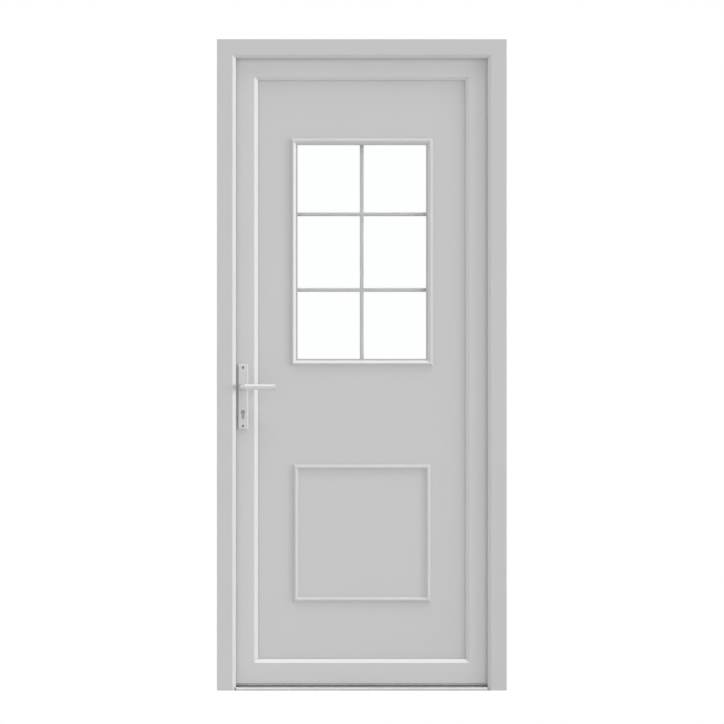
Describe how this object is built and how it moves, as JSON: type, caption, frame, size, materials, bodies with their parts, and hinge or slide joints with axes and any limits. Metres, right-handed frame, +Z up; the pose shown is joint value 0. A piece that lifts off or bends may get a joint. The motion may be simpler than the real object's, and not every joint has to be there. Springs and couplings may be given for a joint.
{
  "type": "pvc front door",
  "caption": "Inward-opening PVC front door in its frame, with a glazed upper field with bars, a moulded lower square, lever handles and hinges.",
  "frame": {"origin": "underside of the threshold, in the middle of the frame's width and depth", "axes": "+Z up, +Y towards the inside of the building, +X to the right as seen from outside"},
  "size_m": [0.97, 0.171, 2.18],
  "materials": {
    "white_pvc": "satin white PVC",
    "panel_skin": "satin white sheet",
    "gasket": "matt grey seal",
    "clear_glass": "clear",
    "spacer_metal": "mill",
    "bar_paint": "satin white",
    "handle_paint": "white lacquer",
    "lock_steel": "zinc plated",
    "cylinder_nickel": "nickel plated",
    "threshold_metal": "anodised"
  },
  "bodies": {
    "frame": {"frame_head": "white_pvc", "left_jamb": "white_pvc", "right_jamb": "white_pvc", "threshold": "threshold_metal", "frame_gasket": "gasket", "main_strike_plate": "lock_steel", "upper_strike_plate": "lock_steel", "lower_strike_plate": "lock_steel", "bottom_hinge_frame_half": "handle_paint", "middle_hinge_frame_half": "handle_paint", "top_hinge_frame_half": "handle_paint"},
    "leaf": {"lock_stile": "white_pvc", "hinge_stile": "white_pvc", "top_rail": "white_pvc", "bottom_rail": "white_pvc", "left_bead": "white_pvc", "top_bead": "white_pvc", "right_bead": "white_pvc", "bottom_bead": "white_pvc", "door_panel": "panel_skin", "outer_glazing_moulding": "panel_skin", "inner_glazing_moulding": "panel_skin", "outer_lower_moulding": "panel_skin", "inner_lower_moulding": "panel_skin", "leaf_gasket": "gasket", "panel_gasket": "gasket", "bottom_seal": "gasket", "outer_glazing_gasket": "gasket", "inner_glazing_gasket": "gasket", "outer_pane": "clear_glass", "inner_pane": "clear_glass", "glass_spacer": "spacer_metal", "glazing_bars": "bar_paint", "outer_handle_plate": "handle_paint", "inner_handle_plate": "handle_paint", "bottom_hinge_leaf_half": "handle_paint", "middle_hinge_leaf_half": "handle_paint", "top_hinge_leaf_half": "handle_paint", "lock_faceplate": "lock_steel", "lock_bolts": "lock_steel", "latch_bolt": "lock_steel", "lock_cylinder": "cylinder_nickel"},
    "lever_set": {"outer_lever": "handle_paint", "inner_lever": "handle_paint", "lever_spindle": "lock_steel"}
  },
  "joints": [
    {"name": "leaf_swing", "type": "hinge", "parent": "frame", "child": "leaf", "pos_m": [0.463, 0.062, 0], "axis": [0, 0, -1], "range_deg": [0, 110]},
    {"name": "lever_turn", "type": "hinge", "parent": "leaf", "child": "lever_set", "pos_m": [-0.3978, 0, 1.0165], "axis": [0, 1, 0], "range_deg": [0, 45], "stiffness_Nm_per_rad": 1, "springref_deg": -57.3}
  ]
}
